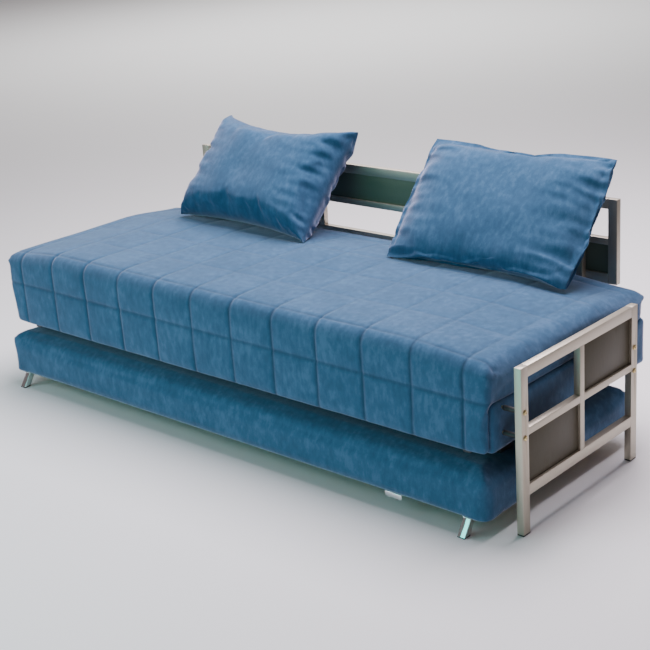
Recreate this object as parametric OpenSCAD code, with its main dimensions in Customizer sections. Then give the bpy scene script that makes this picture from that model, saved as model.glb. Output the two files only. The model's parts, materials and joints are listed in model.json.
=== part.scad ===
// Daybed sofa with a quilted mattress on an upholstered carcass, one open steel
// end frame, a ladder-like steel back frame and a second bed that rolls out
// from underneath. Millimetres, +Z up, +X along the bed, the front faces -Y.
// The origin is on the floor, under the middle of the whole object's box.

/* [Seat] */
// Length of the bed along X
bed_len = 2000; // [1660:10:2400]
// Depth of the seat mattress, front to back
bed_depth = 800; // [660:10:960]
// Thickness of the seat mattress
mattress_h = 136; // [110:1:170]
// Radius of the long top edges of the seat mattress
mattress_edge_r = 45; // [20:1:60]
// Thickness of the quilted panel that falls over the front of the carcass
fall_t = 30; // [20:1:40]
// How far the quilted panel hangs below the carcass
fall_drop = 4; // [1:1:12]
// Height of the upholstered carcass
carcass_h = 130; // [105:1:160]
// Thickness of the carcass and base boards
board_t = 18; // [15:1:22]
// Thickness of the padding on the boards' outer faces
pad_t = 20; // [12:1:26]
// Gap between the falling panel and the carcass front board
fall_gap = 5; // [2:1:10]

/* [Slats] */
// Width of one slat
slat_w = 68; // [50:1:90]
// Thickness of one slat
slat_t = 12; // [9:1:16]
// Clear space between two slats, at least
slat_gap = 70; // [40:1:100]
// Height of the ledges under the slats
ledge_h = 30; // [20:1:40]
// Depth of the ledges under the slats
ledge_d = 25; // [18:1:40]
// Play at the ends of the slats
slat_play = 1; // [0.5:0.5:3]

/* [Lower bed] */
// How much less deep the lower bed is than the seat
lower_short = 100; // [60:10:140]
// Height of the lower bed's upholstered block
lower_h = 135; // [112:1:162]
// Height of the padded boards of the lower bed's base
base_h = 60; // [50:1:75]
// Radius of the long top edges of the lower mattress
lower_edge_r = 32; // [15:1:40]
// How far the lower bed stands forward of the seat's front face
lower_forward = 20; // [0:1:30]
// Free height between the lower bed and the carcass, for the rollers
run_gap = 37; // [34:1:50]
// Distance from the rollers to the front of the guide rails with the bed rolled out
roll_stop = 23; // [16:1:60]

/* [Legs and castors] */
// Height of the legs, floor to base
leg_h = 50; // [46:1:60]
// Side of the square leg
leg_w = 24; // [18:1:30]
// How far the foot stands forward of the leg's top
leg_rake = 30; // [0:1:40]
// Distance of a leg's middle from the bed's end
leg_inset = 65; // [50:1:120]
// Thickness of the mounting plates
plate_t = 3; // [2:0.5:5]
// Thickness of the plastic glide under a leg
glide_t = 3; // [2:0.5:6]
// Radius of a castor wheel
castor_r = 21; // [16:0.5:21]
// Width of a castor wheel
castor_w = 18; // [14:1:24]
// Distance of a castor's middle from the bed's end
castor_inset = 150; // [120:1:250]
// Radius of every axle
axle_r = 4; // [3:0.25:5]
// Radial play of a wheel on its axle
axle_play = 0.06; // [0.02:0.01:0.1]

/* [Guide] */
// Radius of a guide roller
roller_r = 16; // [12:0.5:16]
// Width of a guide roller
roller_w = 16; // [12:1:24]
// Distance of a guide rail's middle from the bed's end
rail_inset = 100; // [90:1:110]
// Width of a guide rail
rail_w = 32; // [30:1:40]
// Thickness of a guide rail
rail_t = 3; // [2:0.5:4]
// Height of a guide rail's outer lip
rail_lip = 15; // [8:1:16]
// Play between parts that glide on each other
glide_play = 0.3; // [0.2:0.1:1]

/* [Steel tube] */
// Wide side of the frame tube
tube_w = 30; // [25:1:36]
// Narrow side of the frame tube
tube_t = 20; // [16:1:24]
// Width of the slim tube in the middle of the frames
slim_w = 20; // [16:1:24]
// Wall of the tubes
tube_wall = 1.5; // [1:0.5:2.5]
// Thickness of the infill panels
panel_t = 4; // [3:0.5:8]
// Height of the plastic foot caps
cap_h = 4; // [3:1:8]

/* [End frame] */
// Width of the end frame, front to back
end_w = 564; // [460:1:690]
// Height of the end frame
end_h = 462; // [380:1:560]
// Distance of the end frame behind the seat's front face
end_setback = 52; // [45:1:70]
// Clear space between the upholstery and the end frame
end_gap = 43; // [34:1:60]
// Height of the end frame's bottom rail above the floor
end_rail_z = 108; // [80:1:130]

/* [Back frame] */
// Width of the back frame
back_w = 1740; // [1450:1:1980]
// Height of the back frame's top edge
back_h = 678; // [620:1:800]
// Clear height of one row of cells in the back frame
back_cell_h = 89; // [70:1:106]
// Clear space between the seat and the back frame
back_gap = 36; // [28:1:50]
// Distance of an upright's middle from the middle of the bed
upright_x = 750; // [600:1:800]

/* [Bolts] */
// Radius of the bolts that hold the frames
bolt_r = 4; // [3:0.5:5]
// Play around a bolt in its hole
bolt_play = 0.2; // [0.1:0.1:0.5]
// Outer radius of the spacers
spacer_r = 7; // [6:0.5:11]
// Height of the lower bolt above the carcass underside
bolt_low = 50; // [30:1:52]
// Height of the upper bolt above the carcass underside
bolt_high = 119; // [75:1:120]

/* [Pillows] */
// Width of a pillow
pillow_w = 620; // [500:10:700]
// Height of a pillow along its own face
pillow_h = 400; // [340:10:460]
// Thickness of a pillow in the middle
pillow_t = 150; // [100:5:160]
// Lean of the pillows from upright, in degrees
pillow_lean = 42; // [38:1:46]
// Distance of a pillow's lower edge in front of the seat's rear edge
pillow_back = 235; // [225:1:300]
// Middle of the left pillow along X
pillow_left_x = -420; // [-480:10:-360]
// Middle of the right pillow along X
pillow_right_x = 548; // [500:2:560]
// Turn of the left pillow about the vertical, in degrees
pillow_left_turn = -4; // [-6:1:6]
// Turn of the right pillow about the vertical, in degrees
pillow_right_turn = 0; // [-6:1:6]

/* [Handle] */
// Width of the pull handle
handle_w = 58; // [40:1:90]
// Height of the pull handle's lip
handle_h = 13; // [8:1:20]
// Middle of the pull handle along X
handle_x = 692; // [-700:1:700]

/* [Hidden] */
$fn = 48;

// Colours
fabric_blue = [0.19, 0.33, 0.50];
birch = [0.80, 0.66, 0.46];
champagne = [0.72, 0.70, 0.64];
panel_brown = [0.33, 0.29, 0.25];
chrome = [0.80, 0.82, 0.84];
black_plastic = [0.08, 0.08, 0.09];
brass_yellow = [0.78, 0.68, 0.40];

// Stack of heights
base_z = leg_h;
lower_deck_z = base_z + base_h;
lower_top = base_z + lower_h;
carcass_z = lower_top + run_gap;
carcass_top = carcass_z + carcass_h;
seat_top = carcass_top + mattress_h;

// Plan of the seat
half = bed_len / 2;
board_out = half - pad_t;
board_in = board_out - board_t;
carcass_y0 = fall_t + fall_gap;
carcass_y1 = bed_depth - pad_t;

// Plan of the lower bed
lower_depth = bed_depth - lower_short;
base_y0 = pad_t - lower_forward;
base_y1 = lower_depth - lower_forward;

// End frame
end_x0 = half + end_gap;
end_x1 = end_x0 + tube_t;
end_y1 = end_setback + end_w;
end_post_mid = [end_setback + tube_w / 2, end_y1 - tube_w / 2];
end_mid_y = end_setback + end_w / 2;
end_low_z = end_rail_z + tube_w;
end_high_z = end_h - tube_w;
end_mid_z = (end_low_z + end_high_z) / 2;

// Back frame
back_y0 = bed_depth + back_gap;
back_y1 = back_y0 + tube_t;
back_top_z = back_h - tube_w;
back_mid_z = back_top_z - back_cell_h - slim_w;
back_low_z = back_mid_z - back_cell_h;
back_rail_z = back_low_z - tube_w;
back_in = back_w / 2 - tube_w;
back_third = back_w / 6;

// Bolts and nuts
bolt_z = [carcass_z + bolt_low, carcass_z + bolt_high];
bolt_head_r = 7;
bolt_head_h = 4;
socket_r = 3;
nut_r = 7.5;
nut_h = 6.5;
nut_play = 0.3;

// Guide
rail_x = half - rail_inset;
rail_under = carcass_z - rail_t;
roller_z = rail_under - glide_play - roller_r;
cheek_t = 4;
roller_y = base_y1 + roller_r + 2;
roller_side = 2;

// Legs and castors
leg_x = half - leg_inset;
leg_top_y = leg_rake - lower_forward - 24;
toe_y = leg_top_y - leg_rake;
castor_x = half - castor_inset;
castor_y = base_y1 - castor_r;

// Middle of the whole object's box
centre_x = (end_x1 + bolt_head_h - half) / 2;
centre_y = (back_y1 + toe_y) / 2;

module placed() translate([-centre_x, -centre_y, 0]) children();

// A box with square edges from its low corner and its size
module block(at, size) translate(at) cube(size);

// A rod along X from a point on its axis
module rod_x(at, r, length) translate(at) rotate([0, 90, 0]) cylinder(r = r, h = length);

// A rod along Y from a point on its axis
module rod_y(at, r, length) translate(at) rotate([-90, 0, 0]) cylinder(r = r, h = length);

// A rectangle with a round corner at its top left, from its low corner
module eased_rect(size, r) {
    translate([r, 0]) square([size[0] - r, size[1]]);
    square([size[0], size[1] - r]);
    translate([r, size[1] - r]) circle(r);
}

// A rectangle with round corners at its top only, from its low corner
module domed_rect(size, r) {
    translate([r, 0]) square([size[0] - 2 * r, size[1]]);
    square([size[0], size[1] - r]);
    for (u = [r, size[0] - r]) translate([u, size[1] - r]) circle(r);
}

// A section in Y and Z drawn out along X from x0 to x1
module along_x(x0, x1) translate([x0, 0, 0]) rotate([90, 0, 90]) linear_extrude(x1 - x0) children();

// A tube that runs along axis 0, 1 or 2, with its far end closed when cap is above 0
module tube(at, size, run, cap = 0) {
    open_end = cap > 0 ? -cap : 1;
    hollow = [for (i = [0:2]) i == run ? size[i] + 1 + open_end : size[i] - 2 * tube_wall];
    start = [for (i = [0:2]) i == run ? -1 : tube_wall];
    translate(at) difference() {
        cube(size);
        translate(start) cube(hollow);
    }
}

// ---- Seat mattress ----

module seat_mattress() placed() color(fabric_blue)
    along_x(-half, half) translate([0, carcass_top]) domed_rect([bed_depth, mattress_h], mattress_edge_r);

module mattress_front_fall() placed() color(fabric_blue)
    block([-half, 0, carcass_z - fall_drop], [bed_len, fall_t, carcass_h + fall_drop]);

// ---- Carcass ----

module cross_board(y) block([-board_in, y, carcass_z], [2 * board_in, board_t, carcass_h]);

// Holes for the frame bolts through whatever stands at the right end
module end_bolt_holes(x0, x1)
    for (y = end_post_mid, z = bolt_z) rod_x([x0 - 1, y, z], bolt_r + bolt_play, x1 - x0 + 2);

// Holes for the frame bolts through whatever stands at the rear
module back_bolt_holes(y0, y1)
    for (x = [-upright_x, upright_x], z = bolt_z)
        rod_y([x, y0 - 1, z], bolt_r + bolt_play, y1 - y0 + 2);

// A pocket along +Z for a nut that sits flush with the inside of a board
module nut_pocket() translate([0, 0, -1]) cylinder(r = nut_r + nut_play, h = nut_h + 1, $fn = 6);

// Places what stands along +Z at each frame bolt, on the inside of its board
module at_end_bolts() for (y = end_post_mid, z = bolt_z)
    translate([board_in, y, z]) rotate([0, 90, 0]) children();

module at_back_bolts() for (x = [-upright_x, upright_x], z = bolt_z)
    translate([x, carcass_y1 - board_t, z]) rotate([-90, 0, 0]) children();

module carcass_front_board() placed() color(birch) cross_board(carcass_y0);

module carcass_rear_board() placed() color(birch) difference() {
    cross_board(carcass_y1 - board_t);
    back_bolt_holes(carcass_y1 - board_t, carcass_y1);
    at_back_bolts() nut_pocket();
}

module end_board(x) block([x, carcass_y0, carcass_z], [board_t, carcass_y1 - carcass_y0, carcass_h]);

module carcass_left_board() placed() color(birch) end_board(-board_out);

module carcass_right_board() placed() color(birch) difference() {
    end_board(board_in);
    end_bolt_holes(board_in, board_out);
    at_end_bolts() nut_pocket();
}

module end_pad(x) along_x(x, x + pad_t) translate([carcass_y0, carcass_z])
    eased_rect([bed_depth - carcass_y0, carcass_h], pad_t);

module carcass_end_pads() placed() color(fabric_blue) {
    end_pad(-half);
    difference() {
        end_pad(board_out);
        end_bolt_holes(board_out, half);
    }
}

module carcass_rear_pad() placed() color(fabric_blue) difference() {
    block([-board_out, carcass_y1, carcass_z], [2 * board_out, pad_t, carcass_h]);
    back_bolt_holes(carcass_y1, bed_depth);
}

// ---- Slats ----

// Two ledges under the ends of the slats of a box that spans y0 to y1
module ledges(length, y0, y1, deck_z)
    for (y = [y0, y1 - ledge_d])
        block([-length / 2, y, deck_z - slat_t - ledge_h], [length, ledge_d, ledge_h]);

// A row of even slats in a box that spans y0 to y1
module slats(length, y0, y1, deck_z) {
    count = floor((length - slat_gap) / (slat_w + slat_gap));
    pitch = length / count;
    for (i = [0:count - 1])
        block([-length / 2 + (i + 0.5) * pitch - slat_w / 2, y0 + slat_play, deck_z - slat_t],
            [slat_w, y1 - y0 - 2 * slat_play, slat_t]);
}

module slat_ledges() placed() color(birch)
    ledges(2 * board_in, carcass_y0 + board_t, carcass_y1 - board_t, carcass_top);

module seat_slats() placed() color(birch)
    slats(2 * board_in, carcass_y0 + board_t, carcass_y1 - board_t, carcass_top);

// ---- Guide under the carcass ----

// A rail with a lip along its outer side and a stop for the roller at its front end
module guide_rail() {
    long = carcass_y1 - carcass_y0;
    lip_x = rail_x + rail_w / 2 - rail_t;
    low = rail_under - rail_lip;
    block([rail_x - rail_w / 2, carcass_y0, rail_under], [rail_w, long, rail_t]);
    block([lip_x, carcass_y0, low], [rail_t, long, rail_lip]);
    block([rail_x - roller_w / 2, carcass_y0, low],
        [lip_x - rail_x + roller_w / 2, roll_stop - roller_r - glide_play, rail_lip]);
}

module guide_rails() placed() color(chrome) {
    guide_rail();
    mirror([1, 0, 0]) guide_rail();
}

module glide_pads() placed() color(black_plastic) {
    pad_x = rail_x + rail_w / 2 + 10;
    low = lower_top + glide_play;
    for (side = [0, 1]) mirror([side, 0, 0])
        block([pad_x, carcass_y0 + 75, low], [30, 50, carcass_z - low]);
}

// ---- End frame ----

module end_post(y) difference() {
    tube([end_x0, y, cap_h], [tube_t, tube_w, end_h - cap_h], 2, tube_wall);
    end_bolt_holes(end_x0, end_x1);
}

module end_front_post() placed() color(champagne) end_post(end_setback);

module end_rear_post() placed() color(champagne) end_post(end_y1 - tube_w);

module end_rail(y, z, length, height) tube([end_x0, y, z], [tube_t, length, height], 1);

module end_top_rail() placed() color(champagne)
    end_rail(end_setback + tube_w, end_high_z, end_w - 2 * tube_w, tube_w);

module end_bottom_rail() placed() color(champagne)
    end_rail(end_setback + tube_w, end_rail_z, end_w - 2 * tube_w, tube_w);

end_cell = (end_w - 2 * tube_w - slim_w) / 2;

module end_middle_rail() placed() color(champagne)
    for (y = [end_setback + tube_w, end_mid_y + slim_w / 2])
        end_rail(y, end_mid_z - slim_w / 2, end_cell, slim_w);

module end_mullion() placed() color(champagne)
    tube([end_x0, end_mid_y - slim_w / 2, end_low_z], [tube_t, slim_w, end_high_z - end_low_z], 2);

module end_panel(y, z)
    block([end_x0 + (tube_t - panel_t) / 2, y, z],
        [panel_t, end_cell, end_mid_z - slim_w / 2 - end_low_z]);

module end_panel_upper() placed() color(panel_brown)
    end_panel(end_mid_y + slim_w / 2, end_mid_z + slim_w / 2);

module end_panel_lower() placed() color(panel_brown) end_panel(end_setback + tube_w, end_low_z);

// A socket-head bolt along +Z whose head starts at the far end of the grip
module bolt(grip) difference() {
    union() {
        cylinder(r = bolt_r, h = grip);
        translate([0, 0, grip]) cylinder(r = bolt_head_r, h = bolt_head_h / 2);
        translate([0, 0, grip + bolt_head_h / 2])
            cylinder(r1 = bolt_head_r, r2 = bolt_head_r - 2, h = bolt_head_h / 2);
    }
    translate([0, 0, grip + bolt_head_h / 2]) cylinder(r = socket_r, h = bolt_head_h, $fn = 6);
}

module end_bolts() placed() color(brass_yellow) at_end_bolts() bolt(end_x1 - board_in);

module end_spacers() placed() color(black_plastic)
    for (y = end_post_mid, z = bolt_z) difference() {
        rod_x([half, y, z], spacer_r, end_gap);
        rod_x([half - 1, y, z], bolt_r + bolt_play, end_gap + 2);
    }

// A foot cap with a plug that goes up into its tube
module foot_cap(at, size) {
    play = 0.2;
    plug = [size[0] - 2 * tube_wall - 2 * play, size[1] - 2 * tube_wall - 2 * play, 12];
    block(at, [size[0], size[1], cap_h]);
    block([at[0] + tube_wall + play, at[1] + tube_wall + play, cap_h], plug);
}

module end_foot_caps() placed() color(black_plastic)
    for (y = [end_setback, end_y1 - tube_w]) foot_cap([end_x0, y, 0], [tube_t, tube_w]);

// ---- Back frame ----

module back_post(x)
    tube([x, back_y0, back_rail_z], [tube_w, tube_t, back_h - back_rail_z], 2, tube_wall);

module back_left_post() placed() color(champagne) back_post(-back_w / 2);

module back_right_post() placed() color(champagne) back_post(back_in);

module back_rail(z, height) tube([-back_in, back_y0, z], [2 * back_in, tube_t, height], 0);

module back_top_rail() placed() color(champagne) back_rail(back_top_z, tube_w);

module back_middle_rail() placed() color(champagne) back_rail(back_mid_z, slim_w);

module back_bottom_rail() placed() color(champagne) back_rail(back_rail_z, tube_w);

module back_mullions() placed() color(champagne)
    for (x = [-back_third, back_third], z = [back_low_z, back_mid_z + slim_w])
        tube([x - slim_w / 2, back_y0, z], [slim_w, tube_t, back_cell_h], 2);

module back_upright(x) difference() {
    tube([x - tube_w / 2, back_y0 - tube_t, cap_h],
        [tube_w, tube_t, back_mid_z + slim_w - cap_h], 2, tube_wall);
    back_bolt_holes(back_y0 - tube_t, back_y0);
}

module back_upright_left() placed() color(champagne) back_upright(-upright_x);

module back_upright_right() placed() color(champagne) back_upright(upright_x);

module back_panel(x0, x1, z)
    block([x0, back_y0 + (tube_t - panel_t) / 2, z], [x1 - x0, panel_t, back_cell_h]);

module back_panel_left() placed() color(panel_brown)
    back_panel(-back_in, -back_third - slim_w / 2, back_low_z);

module back_panel_centre() placed() color(panel_brown)
    back_panel(-back_third + slim_w / 2, back_third - slim_w / 2, back_mid_z + slim_w);

module back_panel_right() placed() color(panel_brown)
    back_panel(back_third + slim_w / 2, back_in, back_low_z);

module back_bolts() placed() color(brass_yellow)
    at_back_bolts() bolt(back_y0 - carcass_y1 + board_t);

module back_spacers() placed() color(black_plastic)
    for (x = [-upright_x, upright_x], z = bolt_z) difference() {
        rod_y([x, bed_depth, z], spacer_r, back_gap - tube_t);
        rod_y([x, bed_depth - 1, z], bolt_r + bolt_play, back_gap - tube_t + 2);
    }

module back_foot_caps() placed() color(black_plastic)
    for (x = [-upright_x, upright_x])
        foot_cap([x - tube_w / 2, back_y0 - tube_t, 0], [tube_w, tube_t]);

// Hexagon nut around a bolt that stands along +Z
module nut() difference() {
    cylinder(r = nut_r, h = nut_h, $fn = 6);
    translate([0, 0, -1]) cylinder(r = bolt_r + 0.05, h = nut_h + 2);
}

module frame_nuts() placed() color(chrome) {
    at_end_bolts() nut();
    at_back_bolts() nut();
}

// ---- Lower bed ----

module base_cross_board(y) block([-board_in, y, base_z], [2 * board_in, board_t, base_h]);

module base_front_board() placed() color(birch) base_cross_board(base_y0);

module base_rear_board() placed() color(birch) base_cross_board(base_y1 - board_t);

module base_end_boards() placed() color(birch)
    for (x = [-board_out, board_in]) block([x, base_y0, base_z], [board_t, base_y1 - base_y0, base_h]);

module base_ledges() placed() color(birch)
    ledges(2 * board_in, base_y0 + board_t, base_y1 - board_t, lower_deck_z);

module base_slats() placed() color(birch)
    slats(2 * board_in, base_y0 + board_t, base_y1 - board_t, lower_deck_z);

module lower_mattress() placed() color(fabric_blue)
    along_x(-half, half) translate([-lower_forward, lower_deck_z])
        domed_rect([lower_depth, lower_h - base_h], lower_edge_r);

module lower_front_pad() placed() color(fabric_blue)
    block([-half, -lower_forward, base_z], [bed_len, pad_t, base_h]);

module lower_end_pads() placed() color(fabric_blue)
    for (x = [-half, board_out]) block([x, base_y0, base_z], [pad_t, base_y1 - base_y0, base_h]);

// ---- Front legs and handle ----

// A raked square leg under its mounting plate, seen along +X
module leg_section() {
    foot = glide_t;
    top = base_z - plate_t;
    polygon([[leg_top_y, top], [leg_top_y + leg_w, top], [toe_y + leg_w, foot], [toe_y, foot]]);
    translate([leg_top_y - 6, top]) square([leg_w + 22, plate_t]);
}

module front_legs() placed() color(chrome)
    for (x = [-leg_x, leg_x]) along_x(x - leg_w / 2, x + leg_w / 2) leg_section();

module leg_glides() placed() color(black_plastic)
    for (x = [-leg_x, leg_x]) block([x - leg_w / 2, toe_y, 0], [leg_w, leg_w, glide_t]);

module pull_handle() placed() color(chrome) {
    front = -lower_forward + 2;
    block([handle_x - handle_w / 2, front, base_z - plate_t], [handle_w, pad_t + board_t - 2, plate_t]);
    block([handle_x - handle_w / 2, front, base_z - plate_t - handle_h], [handle_w, 2.5, handle_h]);
}

// ---- Castors ----

castor_side = castor_w / 2 + 1.5;

// A fork of two cheeks under a plate, with holes for its axle
module castor_fork(x) difference() {
    union() {
        block([x - 25, castor_y - 22, base_z - plate_t], [50, 44, plate_t]);
        for (cheek_x = [x - castor_side - plate_t, x + castor_side])
            block([cheek_x, castor_y - 10, castor_r - 8], [plate_t, 20, base_z - plate_t - castor_r + 8]);
    }
    rod_x([x - 30, castor_y, castor_r], axle_r, 60);
}

module castor_forks() placed() color(chrome) for (x = [-castor_x, castor_x]) castor_fork(x);

module castor_axles() placed() color(chrome)
    for (x = [-castor_x, castor_x])
        rod_x([x - castor_side - plate_t, castor_y, castor_r], axle_r, 2 * (castor_side + plate_t));

// A wheel about X with a round tread edge and a running bore
module wheel(r, width) rotate([0, 90, 0]) difference() {
    union() {
        translate([0, 0, -width / 2 + 1.5]) cylinder(r = r, h = width - 3);
        translate([0, 0, -width / 2]) cylinder(r1 = r - 1.5, r2 = r, h = 1.5);
        translate([0, 0, width / 2 - 1.5]) cylinder(r1 = r, r2 = r - 1.5, h = 1.5);
    }
    translate([0, 0, -width]) cylinder(r = axle_r + axle_play, h = 2 * width);
}

module castor_wheel(x) placed() color(black_plastic)
    translate([x, castor_y, castor_r]) wheel(castor_r, castor_w);

module castor_wheel_left() castor_wheel(-castor_x);

module castor_wheel_right() castor_wheel(castor_x);

// ---- Guide rollers at the rear of the lower bed ----

// A cheek and its flange on the rear board, with a hole for the axle
module roller_bracket() {
    cheek_x = rail_x - roller_w / 2 - roller_side - cheek_t;
    low = lower_deck_z - 30;
    difference() {
        block([cheek_x, base_y1, low], [cheek_t, roller_y - base_y1 + 10, roller_z + 10 - low]);
        rod_x([cheek_x - 1, roller_y, roller_z], axle_r, cheek_t + 2);
    }
    block([cheek_x - 30, base_y1, low], [30, cheek_t, 30]);
}

module roller_brackets() placed() color(chrome) {
    roller_bracket();
    mirror([1, 0, 0]) roller_bracket();
}

module roller_axle() {
    start = rail_x - roller_w / 2 - roller_side - cheek_t;
    rod_x([start, roller_y, roller_z], axle_r, roller_w + 2 * roller_side + cheek_t);
    rod_x([rail_x + roller_w / 2 + 1, roller_y, roller_z], axle_r + 2.5, 1.5);
}

module roller_axles() placed() color(chrome) {
    roller_axle();
    mirror([1, 0, 0]) roller_axle();
}

module roller(x) placed() color(black_plastic)
    translate([x, roller_y, roller_z]) wheel(roller_r, roller_w);

module roller_left() roller(-rail_x);

module roller_right() roller(rail_x);

// ---- Pillows ----

pillow_edge_r = 10;
pillow_mid_r = 40;

// A knife-edged pillow that stands on its lower edge at the origin
module pillow_form() translate([0, 0, pillow_h / 2]) hull() {
    for (x = [-1, 1], z = [-1, 1])
        translate([x * (pillow_w / 2 - pillow_edge_r), 0, z * (pillow_h / 2 - pillow_edge_r)])
            sphere(r = pillow_edge_r, $fn = 24);
    for (x = [-1, 1], y = [-1, 1], z = [-1, 1])
        translate([x * pillow_w * 0.22, y * (pillow_t / 2 - pillow_mid_r), z * pillow_h * 0.16])
            sphere(r = pillow_mid_r, $fn = 24);
}

// A pillow that leans back on the seat, turned about the vertical
module leaning_pillow(x, turn) placed() color(fabric_blue)
    translate([x, bed_depth - pillow_back, seat_top + glide_play + pillow_edge_r * (1 - cos(pillow_lean))])
        rotate([0, 0, turn]) rotate([-pillow_lean, 0, 0]) pillow_form();

module pillow_left() leaning_pillow(pillow_left_x, pillow_left_turn);

module pillow_right() leaning_pillow(pillow_right_x, pillow_right_turn);

seat_mattress();
mattress_front_fall();
carcass_front_board();
carcass_rear_board();
carcass_left_board();
carcass_right_board();
carcass_end_pads();
carcass_rear_pad();
slat_ledges();
seat_slats();
guide_rails();
glide_pads();
end_front_post();
end_rear_post();
end_top_rail();
end_middle_rail();
end_bottom_rail();
end_mullion();
end_panel_upper();
end_panel_lower();
end_bolts();
end_spacers();
end_foot_caps();
back_left_post();
back_right_post();
back_top_rail();
back_middle_rail();
back_bottom_rail();
back_mullions();
back_upright_left();
back_upright_right();
back_panel_left();
back_panel_centre();
back_panel_right();
back_bolts();
back_spacers();
back_foot_caps();
frame_nuts();
base_front_board();
base_rear_board();
base_end_boards();
base_ledges();
base_slats();
lower_mattress();
lower_front_pad();
lower_end_pads();
front_legs();
leg_glides();
pull_handle();
castor_forks();
castor_axles();
castor_wheel_left();
castor_wheel_right();
roller_brackets();
roller_axles();
roller_left();
roller_right();
pillow_left();
pillow_right();
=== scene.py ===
import json
import math

import bmesh
import bpy
from mathutils import Euler, Matrix, Vector, noise


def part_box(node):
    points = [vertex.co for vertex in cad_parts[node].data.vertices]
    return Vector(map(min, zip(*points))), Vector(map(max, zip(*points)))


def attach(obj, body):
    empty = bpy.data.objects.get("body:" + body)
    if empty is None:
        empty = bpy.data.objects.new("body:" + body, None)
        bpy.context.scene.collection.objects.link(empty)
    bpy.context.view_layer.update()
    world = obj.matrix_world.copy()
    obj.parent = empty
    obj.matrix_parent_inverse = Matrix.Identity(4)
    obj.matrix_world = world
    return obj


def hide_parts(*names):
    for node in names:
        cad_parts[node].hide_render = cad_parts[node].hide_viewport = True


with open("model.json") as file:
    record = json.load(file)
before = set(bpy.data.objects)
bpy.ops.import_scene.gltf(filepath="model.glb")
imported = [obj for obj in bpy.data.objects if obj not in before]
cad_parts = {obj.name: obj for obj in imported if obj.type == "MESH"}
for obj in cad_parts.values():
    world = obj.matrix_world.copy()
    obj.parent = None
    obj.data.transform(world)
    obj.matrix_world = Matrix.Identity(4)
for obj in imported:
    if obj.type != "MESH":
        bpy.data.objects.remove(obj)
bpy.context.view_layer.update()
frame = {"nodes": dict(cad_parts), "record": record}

nodes = frame["nodes"]


# ---- Camera ----
# A person stands off the front right corner and looks down along the seat.
# The camera is tipped a little to one side, as a hand-held one is.
stand = Vector((2.788, -2.916, 1.709))
turn_left, look_down, tip = math.radians(43.13), math.radians(19.64), math.radians(-4.07)
bpy.ops.object.select_all(action="DESELECT")
bpy.ops.object.camera_add(location=stand)
camera = bpy.context.object
camera.data.lens = 75.2
aim = Euler((math.radians(90) - look_down, 0, turn_left)).to_matrix() @ Matrix.Rotation(tip, 3, "Z")
camera.rotation_euler = aim.to_euler()
bpy.context.scene.camera = camera


# ---- Lower bed: boards and slats ----
# A box of birch plywood boards, screwed at its corners, with bent birch slats
# that lie across it on two ledges. The grain runs along each piece.
class Wire:
    """An output socket that can be used in arithmetic."""

    def __init__(self, finish, socket):
        self.finish = finish
        self.socket = socket

    def maths(self, operation, *others):
        values = dict(enumerate((self,) + others))
        return self.finish.node("ShaderNodeMath", {"operation": operation}, values)

    def __add__(self, other):
        return self.maths("ADD", other)

    def __sub__(self, other):
        return self.maths("SUBTRACT", other)

    def __mul__(self, other):
        return self.maths("MULTIPLY", other)

    def __rsub__(self, other):
        return (self * -1) + other

    __radd__ = __add__
    __rmul__ = __mul__

    def between(self, low, high):
        """0 at low and 1 at high, with a smooth rise."""
        values = {"Value": self, "From Min": low, "From Max": high}
        return self.finish.node("ShaderNodeMapRange", {"interpolation_type": "SMOOTHSTEP"}, values)


class Finish:
    """A Principled material under construction."""

    def __init__(self, name):
        self.material = bpy.data.materials.new(name)
        self.material.use_nodes = True
        self.tree = self.material.node_tree
        self.shader = self.tree.nodes["Principled BSDF"]

    def node(self, kind, settings=None, sockets=None, out=0):
        made = self.tree.nodes.new(kind)
        for key, value in (settings or {}).items():
            setattr(made, key, value)
        for key, value in (sockets or {}).items():
            self.feed(made.inputs[key], value)
        return Wire(self, made.outputs[out])

    def feed(self, socket, value):
        if isinstance(value, Wire):
            self.tree.links.new(value.socket, socket)
        else:
            socket.default_value = value

    def place(self, stretch=(1, 1, 1)):
        """Object coordinates in metres, stretched by a factor on each axis."""
        here = self.node("ShaderNodeTexCoord", out=3)
        return self.node("ShaderNodeMapping", {}, {"Vector": here, "Scale": stretch})

    def clouds(self, scale, detail=3, rough=0.5, stretch=(1, 1, 1)):
        values = {"Vector": self.place(stretch), "Scale": scale, "Detail": detail, "Roughness": rough}
        return self.node("ShaderNodeTexNoise", {}, values)

    def mix(self, mask, first, second):
        """The first colour where mask is 0 and the second where it is 1."""
        return self.node("ShaderNodeMix", {"data_type": "RGBA"}, {0: mask, 6: first, 7: second}, out=2)

    def bump(self, height, depth, under=None):
        values = {"Height": height, "Distance": depth, "Strength": 1}
        if under:
            values["Normal"] = under
        return self.node("ShaderNodeBump", {}, values)

    def steady(self, **sockets):
        """Sets what is the same all over: Metallic=..., Specular_IOR_Level=..."""
        for key, value in sockets.items():
            self.shader.inputs[key.replace("_", " ")].default_value = value

    def varied(self, **sockets):
        """Links what changes over the surface, and gives the finished material."""
        for key, value in sockets.items():
            self.feed(self.shader.inputs[key.replace("_", " ")], value)
        return self.material


def rgb(red, green, blue):
    return (red, green, blue, 1)


def birch(name, light, dark, stretch):
    wood = Finish(name)
    ring = wood.clouds(30, detail=5, rough=0.6, stretch=stretch)
    pore = wood.clouds(220, detail=3, rough=0.7, stretch=stretch)
    grain = (ring * 0.7 + pore * 0.3).between(0.3, 0.7)
    colour = wood.mix(grain, light, dark)
    return wood.varied(Base_Color=colour, Roughness=0.5 + pore * 0.15, Normal=wood.bump(pore, 0.0002))


def only(piece):
    bpy.ops.object.select_all(action="DESELECT")
    piece.select_set(True)
    bpy.context.view_layer.objects.active = piece


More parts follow.
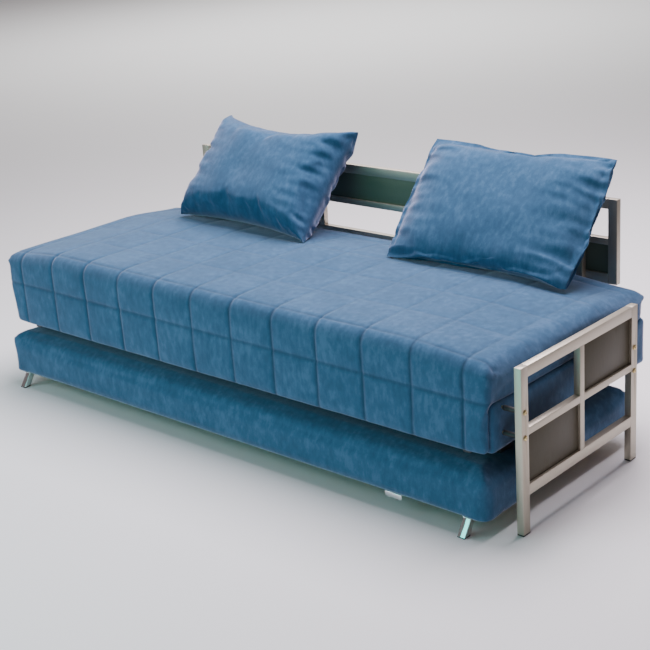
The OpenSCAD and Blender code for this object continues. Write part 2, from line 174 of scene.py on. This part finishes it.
def finish_with(piece, kind, **settings):
    only(piece)
    step = piece.modifiers.new(kind, kind)
    for key, value in settings.items():
        setattr(step, key, value)
    bpy.ops.object.modifier_apply(modifier=step.name)


def shade_smooth(piece, angle=None):
    only(piece)
    if angle is None:
        bpy.ops.object.shade_smooth()
    else:
        bpy.ops.object.shade_smooth_by_angle(angle=math.radians(angle))


def settle(piece, body, material):
    """Gives a finished piece its material, body and slot."""
    piece.data.materials.clear()
    piece.data.materials.append(material)
    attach(piece, body)


def body_of(node):
    bodies = frame["record"]["behaviour"]["bodies"]
    return next(name for name, members in bodies.items() if node in members)


def ease(names, width, material, sharp=40):
    """Stands a copy with eased edges in the place of each hard-edged part."""
    for name in names:
        piece = nodes[name].copy()
        piece.data = nodes[name].data.copy()
        piece.name = name + "_eased"
        for key in list(piece.keys()):
            del piece[key]
        piece.parent = None
        bpy.context.scene.collection.objects.link(piece)
        only(piece)
        bpy.ops.object.mode_set(mode="EDIT")
        bpy.ops.mesh.select_all(action="SELECT")
        bpy.ops.mesh.remove_doubles(threshold=0.00001)
        bpy.ops.mesh.dissolve_limited(angle_limit=math.radians(1))
        bpy.ops.object.mode_set(mode="OBJECT")
        edge = math.radians(sharp)
        finish_with(piece, "BEVEL", width=width, segments=2, limit_method="ANGLE", angle_limit=edge)
        shade_smooth(piece, sharp)
        settle(piece, body_of(name), material)
        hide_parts(name)


along_x, along_y = (0.06, 1, 1), (1, 0.06, 1)
plywood_light, plywood_dark = rgb(0.64, 0.46, 0.28), rgb(0.44, 0.29, 0.16)
plywood = birch("plywood_along", plywood_light, plywood_dark, along_x)
plywood_across = birch("plywood_across", plywood_light, plywood_dark, along_y)
slat_wood = birch("slat_birch", rgb(0.70, 0.52, 0.32), rgb(0.52, 0.36, 0.20), along_y)
ease(["base_front_board", "base_rear_board", "base_ledges"], 0.001, plywood)
ease(["base_end_boards"], 0.001, plywood_across)
ease(["base_slats"], 0.003, slat_wood)


# ---- Lower bed: legs and pull handle ----
# Two square legs under the front edge, raked forward, and a pressed lip to pull
# the bed out by. They are chromed steel, with fingermarks, on plastic glides.
def chrome_plate():
    plate = Finish("chrome_plate")
    smear = plate.clouds(40, detail=4, rough=0.7)
    plate.steady(Metallic=1.0)
    shine = plate.mix(smear, rgb(0.66, 0.70, 0.70), rgb(0.80, 0.84, 0.84))
    return plate.varied(Base_Color=shine, Roughness=0.08 + smear * 0.10)


def moulded(name, dark, light, rough):
    part = Finish(name)
    cloud = part.clouds(50, detail=3)
    grain = part.clouds(600, detail=2)
    colour = part.mix(cloud, dark, light)
    return part.varied(Base_Color=colour, Roughness=rough + cloud * 0.12, Normal=part.bump(grain, 0.0002))


black_plastic = moulded("moulded_black", rgb(0.012, 0.012, 0.013), rgb(0.030, 0.030, 0.032), 0.45)
ease(["front_legs", "pull_handle"], 0.0012, chrome_plate())
ease(["leg_glides"], 0.0008, black_plastic)


# ---- Lower bed: castors and rollers ----
# Two rubber-tyred castors carry the rear edge on the floor, and two nylon
# rollers on brackets run under the steel guide rails of the seat.
def zinc_plate(name, dark, light, rough):
    steel = Finish(name)
    cloud = steel.clouds(60, detail=4, rough=0.65)
    fine = steel.clouds(700, detail=2)
    steel.steady(Metallic=1.0)
    colour = steel.mix(cloud, dark, light)
    return steel.varied(Base_Color=colour, Roughness=rough + cloud * 0.15, Normal=steel.bump(fine, 0.0001))


clear_zinc = zinc_plate("clear_zinc", rgb(0.42, 0.43, 0.45), rgb(0.62, 0.64, 0.66), 0.32)
tread = moulded("castor_tread", rgb(0.020, 0.020, 0.022), rgb(0.050, 0.050, 0.054), 0.65)
nylon = moulded("white_nylon", rgb(0.62, 0.61, 0.56), rgb(0.74, 0.73, 0.69), 0.38)
ease(["castor_forks", "castor_axles", "roller_brackets", "roller_axles"], 0.0004, clear_zinc)
ease(["castor_wheel_left", "castor_wheel_right"], 0.001, tread)
ease(["roller_left", "roller_right"], 0.001, nylon)


# ---- Lower bed: upholstery ----
# A foam block on the slats, under blue microsuede that is pulled down taut over
# the boards and fixed at their lower edge. The nap is brushed, so it has soft
# cloudy marks a centimetre or two across, and a pale bloom at a glance.
deep_blue = rgb(0.028, 0.083, 0.158)
mid_blue = rgb(0.036, 0.102, 0.192)
pale_blue = rgb(0.055, 0.132, 0.238)
# Colour of the painted shade in the stitch grooves of the quilted cover.
seam_shade_blue = rgb(0.006, 0.022, 0.046)
bloom = rgb(0.80, 0.78, 1.0)


def microsuede(name, sewn=False):
    cloth = Finish(name)
    marks = cloth.clouds(48, detail=4, rough=0.6, stretch=(1.25, 1.0, 0.6))
    drifts = cloth.clouds(9, detail=3, rough=0.55)
    nap = cloth.clouds(380, detail=3, rough=0.7)
    tone = marks * 0.55 + drifts * 0.3 + nap * 0.15
    lower = cloth.mix(tone.between(0.37, 0.52), deep_blue, mid_blue)
    colour = cloth.mix(tone.between(0.49, 0.62), lower, pale_blue)
    # With sewn, the seam attribute mixes in painted shade that darkens the stitch grooves.
    if sewn:
        seam = cloth.node("ShaderNodeAttribute", {"attribute_name": "seam"}, out=2)
        colour = cloth.mix(seam * 0.75, colour, seam_shade_blue)
    cloth.steady(Sheen_Weight=0.8, Sheen_Roughness=0.35, Sheen_Tint=bloom, Specular_IOR_Level=0.15)
    normal = cloth.bump(nap, 0.0005, cloth.bump(marks, 0.0004))
    return cloth.varied(Base_Color=colour, Roughness=0.96 - tone * 0.1, Normal=normal)


def add_block(name, low, high):
    """A box between two corners, with its place in its mesh."""
    low, high = Vector(low), Vector(high)
    bpy.ops.object.select_all(action="DESELECT")
    bpy.ops.mesh.primitive_cube_add(size=1, location=(low + high) / 2, scale=high - low)
    bpy.ops.object.transform_apply(location=True, rotation=True, scale=True)
    piece = bpy.context.object
    piece.name = name
    return piece


def shape(piece, chosen, action, kind="FACE"):
    """Runs an edit-mode action on the faces or edges that chosen() picks."""
    only(piece)
    bpy.ops.object.mode_set(mode="EDIT")
    bpy.ops.mesh.select_mode(type=kind)
    bpy.ops.mesh.select_all(action="DESELECT")
    mesh = bmesh.from_edit_mesh(piece.data)
    for item in mesh.faces if kind == "FACE" else mesh.edges:
        item.select_set(chosen(item))
    bmesh.update_edit_mesh(piece.data)
    action()
    bpy.ops.mesh.select_all(action="DESELECT")
    bpy.ops.mesh.select_mode(type="FACE")
    bpy.ops.object.mode_set(mode="OBJECT")


def move_points(piece, rule):
    """Moves every point of a mesh to where rule(place, normal) says."""
    normals = [point.normal.copy() for point in piece.data.vertices]
    for point, normal in zip(piece.data.vertices, normals):
        point.co = rule(point.co.copy(), normal)
    piece.data.update()


def smooth_step(value):
    value = min(1, max(0, value))
    return value * value * (3 - 2 * value)


def swell(piece, pressure, most, frames=20, stiff=15, bend=0.5, mass=0.3, held=None):
    """Stuffs a closed mesh by cloth simulation, held fast where held(place) is 1."""
    only(piece)
    rest = [point.co.copy() for point in piece.data.vertices]
    cloth = piece.modifiers.new("cloth", "CLOTH")
    cloth.settings.mass = mass
    cloth.settings.use_pressure = True
    cloth.settings.uniform_pressure_force = pressure
    cloth.settings.tension_stiffness = stiff
    cloth.settings.compression_stiffness = stiff
    cloth.settings.bending_stiffness = bend
    cloth.settings.effector_weights.gravity = 0
    cloth.point_cache.frame_end = frames
    if held:
        pins = piece.vertex_groups.new(name="held")
        for index, place in enumerate(rest):
            weight = held(place)
            if weight > 0:
                pins.add([index], weight, "REPLACE")
        cloth.settings.vertex_group_mass = "held"
    for step in range(1, frames + 1):
        bpy.context.scene.frame_set(step)
    bpy.ops.object.modifier_apply(modifier=cloth.name)
    bpy.context.scene.frame_set(1)
    piece.vertex_groups.clear()
    for point, start in zip(piece.data.vertices, rest):
        shift = point.co - start
        furthest = most(start) if callable(most) else most
        if shift.length > furthest:
            point.co = start + shift * (furthest / shift.length)
    piece.data.update()


upholstery = microsuede("blue_microsuede")
lower_low, lower_high = (Vector(corner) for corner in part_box("lower_mattress"))
skirt_low, skirt_high = (Vector(corner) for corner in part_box("lower_front_pad"))
skirt_thick = skirt_high.y - skirt_low.y
tuck_under = 0.03
over_board = 0.007
top_edge_round = 0.032


def add_lower_cover():
    ease_in = Vector((0.004, 0.004, 0.004))
    low = Vector((lower_low.x, lower_low.y, skirt_low.z - tuck_under)) + ease_in * 0.7
    high = lower_high + Vector((-ease_in.x, over_board, -ease_in.z))
    cover = add_block("lower_bed_cover", low, high)
    upper = lambda edge: min(point.co.z for point in edge.verts) > lower_high.z - 0.01
    round_over = lambda: bpy.ops.mesh.bevel(offset=top_edge_round, segments=6, affect="EDGES")
    shape(cover, upper, round_over, "EDGE")
    finish_with(cover, "REMESH", mode="VOXEL", voxel_size=0.0095)
    finish_with(cover, "SMOOTH", iterations=2, factor=0.5)
    swell(cover, 3.0, 0.005, frames=10)

    def trim():
        bpy.ops.mesh.bisect(plane_co=(0, 0, skirt_low.z), plane_no=(0, 0, -1), clear_outer=True)

    shape(cover, lambda face: True, trim)
    finish_with(cover, "SOLIDIFY", thickness=skirt_thick - 0.003, offset=-1)
    return cover


lower_cover = add_lower_cover()
shade_smooth(lower_cover)
settle(lower_cover, "lower_bed", upholstery)
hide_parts("lower_mattress", "lower_front_pad", "lower_end_pads")


# ---- Carcass: boards, slats and guides ----
# The box under the seat is made as the lower one is. Steel guide rails are
# screwed under its end boards, and plastic pads keep it off the lower bed.
ease(["carcass_front_board", "carcass_rear_board", "slat_ledges"], 0.001, plywood)
ease(["carcass_left_board", "carcass_right_board"], 0.001, plywood_across)
ease(["seat_slats"], 0.003, slat_wood)
dull_zinc = zinc_plate("dull_zinc", rgb(0.07, 0.07, 0.075), rgb(0.13, 0.13, 0.14), 0.5)
ease(["guide_rails"], 0.0004, dull_zinc)
ease(["glide_pads"], 0.0008, black_plastic)


# ---- Carcass: padding ----
# Thin foam under the same microsuede, wrapped over the boards at both ends and
# along the rear. The end pads have a round corner at the front.
pad_corner = 0.018


def add_pad(name, low, high, voxel, rounded=None):
    pad = add_block(name, low, high)
    if rounded:
        round_over = lambda: bpy.ops.mesh.bevel(offset=pad_corner, segments=4, affect="EDGES")
        shape(pad, rounded, round_over, "EDGE")
    finish_with(pad, "REMESH", mode="VOXEL", voxel_size=voxel)
    finish_with(pad, "SMOOTH", iterations=2, factor=0.5)
    swell(pad, 2.0, 0.003, frames=10)
    finish_with(pad, "SUBSURF", levels=1, render_levels=1)
    shade_smooth(pad)
    settle(pad, "daybed", upholstery)
    return pad


ends_low, ends_high = (Vector(corner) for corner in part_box("carcass_end_pads"))
rear_low, rear_high = (Vector(corner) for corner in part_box("carcass_rear_pad"))
pad_pull = 0.007


def front_corner(edge):
    ahead = max(point.co.y for point in edge.verts) < ends_low.y + 0.001
    return ahead and min(point.co.z for point in edge.verts) > ends_high.z - 0.001


board_low, board_high = (Vector(corner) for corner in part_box("carcass_left_board"))
wrap = board_high.x - ends_low.x + 0.002
over_top = 0.006
end_lap = Vector((0, 0.006, 0.003))
low, high = ends_low - end_lap, ends_high + Vector((0, -0.012, over_top))
left_ends = (low.x + pad_pull, low.y, low.z), (low.x + wrap, high.y, high.z)
right_ends = (high.x - wrap, low.y, low.z), (high.x - pad_pull, high.y, high.z)
left_pad = add_pad("carcass_left_cover", *left_ends, 0.0075, front_corner)
right_pad = add_pad("carcass_right_cover", *right_ends, 0.0075, front_corner)
rear_lap = Vector((0, 0.016, 0))
rear_ends = rear_low - rear_lap, rear_high + Vector((0, 0, over_top))
rear_pad = add_pad("carcass_rear_cover", *rear_ends, 0.009)
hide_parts("carcass_end_pads")
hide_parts("carcass_end_pads")
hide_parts("carcass_rear_pad")


# ---- End frame and back frame: steel tube ----
# Square-cornered steel tube, welded, ground flush and powder coated in a satin
# champagne silver, with a painted highlight that lightens its corners.
def powder_coat():
    coat = Finish("champagne_powder_coat")
    grain = coat.clouds(900, detail=2, rough=0.6)
    drift = coat.clouds(4, detail=3)
    # Painted highlight: corners picked out by pointiness are mixed towards a pale champagne.
    edge = coat.node("ShaderNodeNewGeometry", out=7).between(0.52, 0.60)
    colour = coat.mix(drift, rgb(0.36, 0.315, 0.24), rgb(0.45, 0.40, 0.31))
    colour = coat.mix(edge * 0.35, colour, rgb(0.62, 0.59, 0.52))
    coat.steady(Metallic=0.7)
    rough = 0.30 + drift * 0.10 + grain * 0.08
    return coat.varied(Base_Color=colour, Roughness=rough, Normal=coat.bump(grain, 0.0002))


champagne = powder_coat()
ease(["end_front_post", "end_rear_post", "end_top_rail", "end_middle_rail"], 0.0015, champagne)
ease(["end_bottom_rail", "end_mullion"], 0.0015, champagne)
ease(["back_left_post", "back_right_post", "back_top_rail", "back_middle_rail"], 0.0015, champagne)
ease(["back_bottom_rail", "back_mullions"], 0.0015, champagne)
ease(["back_upright_left", "back_upright_right"], 0.0015, champagne)


# ---- End frame and back frame: infill panels ----
# Thin boards with a low gloss, set into some of the cells in a chequer, with faint rub marks from use.
# Brown-grey in the end frame; the ones behind are a lighter green-grey, their own colour with a painted
# mint reflection.
def panel_board(name, dark, light):
    board = Finish(name)
    cloud = board.clouds(6, detail=4, rough=0.6)
    fine = board.clouds(160, detail=3, rough=0.6, stretch=(1, 1, 0.2))
    colour = board.mix(cloud * 0.6 + fine * 0.4, dark, light)
    rub = board.clouds(14, detail=6, rough=0.75).between(0.5, 0.8)
    board.steady(Specular_IOR_Level=0.2)
    return board.varied(Base_Color=colour, Roughness=0.42 + rub * 0.2, Normal=board.bump(fine, 0.0002))


brown_grey = panel_board("brown_grey_board", rgb(0.058, 0.050, 0.031), rgb(0.088, 0.077, 0.050))
# Lighter and greener than the end panels: a painted mint reflection on top of the board's own colour.
green_grey_painted_reflection = panel_board("green_grey_board_painted_reflection", rgb(0.105, 0.130, 0.090), rgb(0.145, 0.175, 0.125))
ease(["end_panel_upper", "end_panel_lower"], 0.0006, brown_grey)
ease(["back_panel_left", "back_panel_centre", "back_panel_right"], 0.0006, green_grey_painted_reflection)


# ---- End frame and back frame: fixings ----
# Yellow-zinc bolts pass through the tube and a black plastic spacer into nuts
# that sit flush in the boards, and black caps close the feet.
yellow_zinc = zinc_plate("yellow_zinc", rgb(0.50, 0.38, 0.16), rgb(0.76, 0.64, 0.36), 0.28)
ease(["end_bolts", "back_bolts"], 0.0004, yellow_zinc)
ease(["frame_nuts"], 0.0004, clear_zinc)
ease(["end_spacers", "back_spacers", "end_foot_caps", "back_foot_caps"], 0.0006, black_plastic)


# ---- Seat mattress ----
# A thick foam mattress in a quilted cover, whose front panel falls over the
# carcass. The cover is stitched in squares, which puff a little between the
# seams, and the top is crowned and falls away towards the ends and the rear.
slab_low, slab_high = (Vector(corner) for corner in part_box("seat_mattress"))
fall_low, fall_high = (Vector(corner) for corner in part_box("mattress_front_fall"))
middle_x = (slab_low.x + slab_high.x) / 2
half_length = slab_high.x - middle_x
square = 1 / 6
first_seam_z = slab_low.z + 0.011
front_girth = 0.165
side_gap, top_gap = 0.003, 0.006
top_round, rear_round, front_round = 0.044, 0.045, 0.022


def seam_distances(place):
    """How far a point is from the seam that runs up and over, and the one across."""
    across = abs(((place.x - middle_x) / square) % 1 - 0.5) * square
    if place.z < slab_high.z - 0.045:
        run = place.z - first_seam_z
    else:
        run = front_girth + place.y - slab_low.y - 0.040
    along = abs((run / square + 0.5) % 1 - 0.5) * square
    return across, along


def stitched(place):
    """1 where the cover is sewn down, on the front and the top."""
    on_front = place.y < slab_low.y + 0.02
    on_top = place.z > slab_high.z - 0.02
    across, along = seam_distances(place)
    if (on_front or on_top) and min(across, along) < 0.005:
        return 1.0
    return 0.0


def add_seat():
    tuck = Vector((side_gap, top_gap, top_gap))
    inset = Vector((side_gap, top_gap, 0))
    slab = add_block("seat_mattress_cover", slab_low + inset, slab_high - tuck)
    fall_top = Vector((fall_high.x - side_gap, fall_high.y, fall_high.z + 0.03))
    fall = add_block("seat_fall", fall_low + inset, fall_top)

    def round_over(offset, segments):
        return lambda: bpy.ops.mesh.bevel(offset=offset, segments=segments, affect="EDGES")

    upper = lambda edge: min(point.co.z for point in edge.verts) > slab_high.z - 0.01
    shape(slab, upper, round_over(top_round, 6), "EDGE")
    upright = lambda edge: abs(edge.verts[0].co.z - edge.verts[1].co.z) > 0.05
    rear = lambda edge: upright(edge) and edge.verts[0].co.y > slab_high.y - 0.1
    shape(slab, rear, round_over(rear_round, 5), "EDGE")
    front = lambda edge: upright(edge) and edge.verts[0].co.y < slab_low.y + 0.1
    shape(slab, front, round_over(front_round, 4), "EDGE")
    finish_with(fall, "BEVEL", width=0.013, segments=3, limit_method="NONE", affect="EDGES")
    bpy.ops.object.select_all(action="DESELECT")
    fall.select_set(True)
    slab.select_set(True)
    bpy.context.view_layer.objects.active = slab
    bpy.ops.object.join()
    finish_with(slab, "REMESH", mode="VOXEL", voxel_size=0.009)
    finish_with(slab, "SMOOTH", iterations=3, factor=0.5)
    puff = lambda place: 0.0016 + 0.0050 * (1 - smooth_step((place.y - slab_low.y) / 0.12))
    swell(slab, 4.0, puff, frames=12, held=stitched)
    finish_with(slab, "SUBSURF", levels=1, render_levels=1)
    return slab


def crown(place, normal):
    """Lets the top fall towards the ends and rear, and draws the sides in low down."""
    from_end = half_length - abs(place.x - middle_x)
    from_rear = slab_high.y - place.y
    height = smooth_step((place.z - slab_low.z - 0.02) / 0.10)
    fall_end = 0.018 * (1 - smooth_step(from_end / 0.30))
    fall_rear = 0.022 * (1 - smooth_step(from_rear / 0.30))
    place.z += (0.004 - fall_end - fall_rear) * height
    low_down = 1 - smooth_step((place.z - fall_low.z) / 0.22)
    pull = 0.012 * low_down * (1 - smooth_step(from_end / 0.12))
    place.x -= math.copysign(pull, place.x - middle_x)
    return place


def sew(place, normal):
    """Draws the stitch lines into the cover, deeper on the front than on top."""
    across, along = seam_distances(place)
    on_front = 1 - smooth_step((place.y - slab_low.y - 0.02) / 0.12)
    facing = smooth_step((max(normal.z, -normal.y) - 0.25) / 0.4)
    if place.y > slab_low.y + 0.06 and normal.z < 0.2:
        facing = 0
    patchy = 0.8 + 0.5 * noise.noise(place * 9)
    up_lines = math.exp(-((across / 0.0065) ** 2)) * (0.0008 + 0.0030 * on_front)
    cross_lines = math.exp(-((along / 0.0065) ** 2)) * (0.0007 + 0.0016 * on_front)
    slack = 0.0022 * noise.noise(Vector((place.x * 3, place.y * 4, place.z * 4 + 7)))
    return place + normal * facing * (slack - patchy * (up_lines + cross_lines))


def paint_seam_shade(piece):
    """Records how near each point is to a seam, for painted shade in the stitch grooves, stronger on the
    front where they are deeper.
    """
    seam = piece.data.attributes.new("seam", "FLOAT", "POINT")
    for index, point in enumerate(piece.data.vertices):
        across, along = seam_distances(point.co)
        on_front = 1 - smooth_step((point.co.y - slab_low.y - 0.02) / 0.12)
        near = max(math.exp(-((across / 0.005) ** 2)), 0.7 * math.exp(-((along / 0.005) ** 2)))
        seam.data[index].value = near * (0.22 + 0.60 * on_front)


seat = add_seat()
paint_seam_shade(seat)
move_points(seat, crown)
move_points(seat, sew)
shade_smooth(seat)
settle(seat, "daybed", microsuede("quilted_microsuede", sewn=True))
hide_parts("seat_mattress", "mattress_front_fall")


# ---- Pillows ----
# Two sheets of the same cloth sewn edge to edge and stuffed with loose fibre.
# The edges pull in between the pointed corners, and the cloth gathers into folds
# at both short sides. A pillow is pressed flat where it rests on the seat.
half_plump = 0.082
press = 0.010


def add_pillow(name, node, turn, seed, draw_in, size=(0.656, 0.436), lean=42):
    """draw_in is how far the lower, upper and short edges pull in at their middle."""
    low, high = (Vector(corner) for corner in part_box(node))
    half_w, half_h = size[0] / 2, size[1] / 2
    bpy.ops.object.select_all(action="DESELECT")
    bpy.ops.mesh.primitive_grid_add(x_subdivisions=110, y_subdivisions=76, size=2)
    pillow = bpy.context.object
    pillow.name = name

    def loft(place, normal):
        u, v = math.sin(place.x * math.pi / 2), math.sin(place.y * math.pi / 2)
        full = math.sqrt(max(0, (1 - u ** 4) * (1 - v ** 4)))
        fold = noise.noise(Vector((u * 3, v * 7.5 + seed, seed))) * abs(u) ** 5
        pucker = noise.noise(Vector((u * 8 + seed, v * 2, seed))) * v ** 4
        slack = noise.noise(Vector((u * 2.2 + seed, v * 1.8, seed + 5)))
        plump = half_plump * full * (1 + 0.60 * fold + 0.18 * pucker + 0.12 * slack)
        edge = draw_in[0] if v < 0 else draw_in[1]
        x = u * (half_w - draw_in[2] * (1 - v * v))
        return Vector((x, v * (half_h - edge * (1 - u * u)), plump))

    move_points(pillow, loft)
    finish_with(pillow, "MIRROR", use_axis=(False, False, True), merge_threshold=0.0001)
    shape(pillow, lambda face: True, lambda: bpy.ops.mesh.normals_make_consistent(inside=False))
    swell(pillow, 4.0, 0.018, frames=14, stiff=20, bend=0.1, mass=0.12)
    finish_with(pillow, "SUBSURF", levels=1, render_levels=1)
    tilt = Matrix.Rotation(math.radians(turn), 4, "Z") @ Matrix.Rotation(math.radians(90 - lean), 4, "X")
    pillow.matrix_world = Matrix.Translation((low + high) / 2) @ tilt
    only(pillow)
    bpy.ops.object.transform_apply(location=True, rotation=True, scale=True)
    drop = low.z - min(point.co.z for point in pillow.data.vertices) - press
    rest_on = lambda place, normal: Vector((place.x, place.y, max(low.z, place.z + drop)))
    move_points(pillow, rest_on)
    shade_smooth(pillow)
    settle(pillow, node, upholstery)
    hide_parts(node)
    return pillow


add_pillow("pillow_left_cover", "pillow_left", -4, 3.1, (0.020, 0.040, 0.010))
add_pillow("pillow_right_cover", "pillow_right", 0, 8.4, (0.014, 0.014, 0.010))


# ---- Floor and lights ----
# A plain pale floor, a large soft light overhead and a smaller one at the front
# left. A low cool one tints the steel and the front of the cloth, and one far
# behind lights the floor there.
def add_light(name, place, target, size, power, colour):
    bpy.ops.object.select_all(action="DESELECT")
    bpy.ops.object.light_add(type="AREA", location=place)
    light = bpy.context.object
    light.name = name
    light.rotation_euler = (Vector(target) - Vector(place)).to_track_quat("-Z", "Y").to_euler()
    light.data.size = size
    light.data.energy = power
    light.data.color = colour


bpy.ops.object.select_all(action="DESELECT")
bpy.ops.mesh.primitive_plane_add(size=30, location=(0, 0, 0))
floor = bpy.context.object
floor.name = "floor"
ground = Finish("pale_floor")
tone = ground.mix(ground.clouds(0.6), rgb(0.80, 0.80, 0.80), rgb(0.84, 0.84, 0.84))
ground.steady(Roughness=0.8)
floor.data.materials.append(ground.varied(Base_Color=tone))

sky = bpy.data.worlds.new("studio")
bpy.context.scene.world = sky
sky.use_nodes = True
sky.node_tree.nodes["Background"].inputs["Color"].default_value = rgb(1.0, 0.84, 0.86)
sky.node_tree.nodes["Background"].inputs["Strength"].default_value = 0.19

add_light("overhead", (0.1, 0.9, 3.3), (0.1, 0.1, 0.4), 2.4, 285, (1.0, 0.91, 1.0))
add_light("key", (-2.5, -2.8, 2.3), (-0.2, 0, 0.35), 1.6, 46, (0.66, 0.93, 1.0))
add_light("low_front", (-0.2, -3.2, 0.6), (0, 0, 0.3), 2.0, 34, (0.14, 1.0, 0.92))
add_light("backdrop", (-6.0, 7.0, 4.0), (-6.0, 7.0, 0), 6.0, 500, (1.0, 1.0, 1.0))
